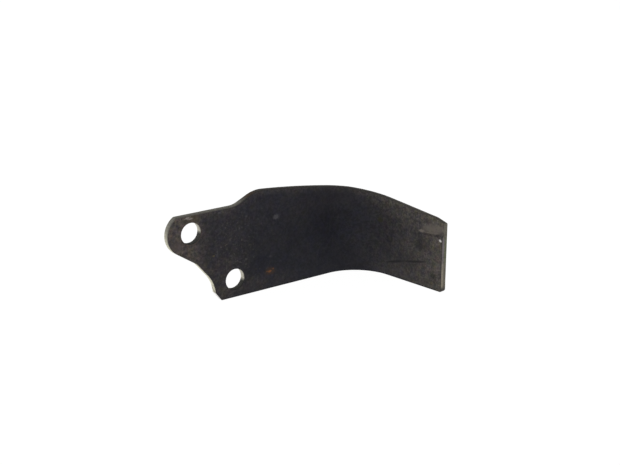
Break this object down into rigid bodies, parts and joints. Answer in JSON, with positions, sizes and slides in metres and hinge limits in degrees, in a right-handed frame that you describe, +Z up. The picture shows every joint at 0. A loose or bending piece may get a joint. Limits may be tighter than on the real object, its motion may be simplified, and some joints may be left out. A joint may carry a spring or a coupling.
{
  "type": "spader blade",
  "caption": "Bent flat steel soil-working blade: flat bolting leg with a rounded head, bolt holes and a hub clearance curve, a raised shoulder and a tip bent to one side.",
  "frame": {"origin": "midway between the two bolt holes, on the outer face of the flat leg that seats on the rotor flange", "axes": "+Y out of the seating face, +X along the flat leg towards the bend, +Z up across the width of the blade as it stands on its straight lower edge"},
  "size_m": [0.1928, 0.0907, 0.0797],
  "materials": {
    "blade_steel": "dark semi-gloss coat over plate steel, scuffed to brown-grey at the head and the tip"
  },
  "bodies": {
    "root": {"spader_blade": "blade_steel"}
  },
  "joints": []
}
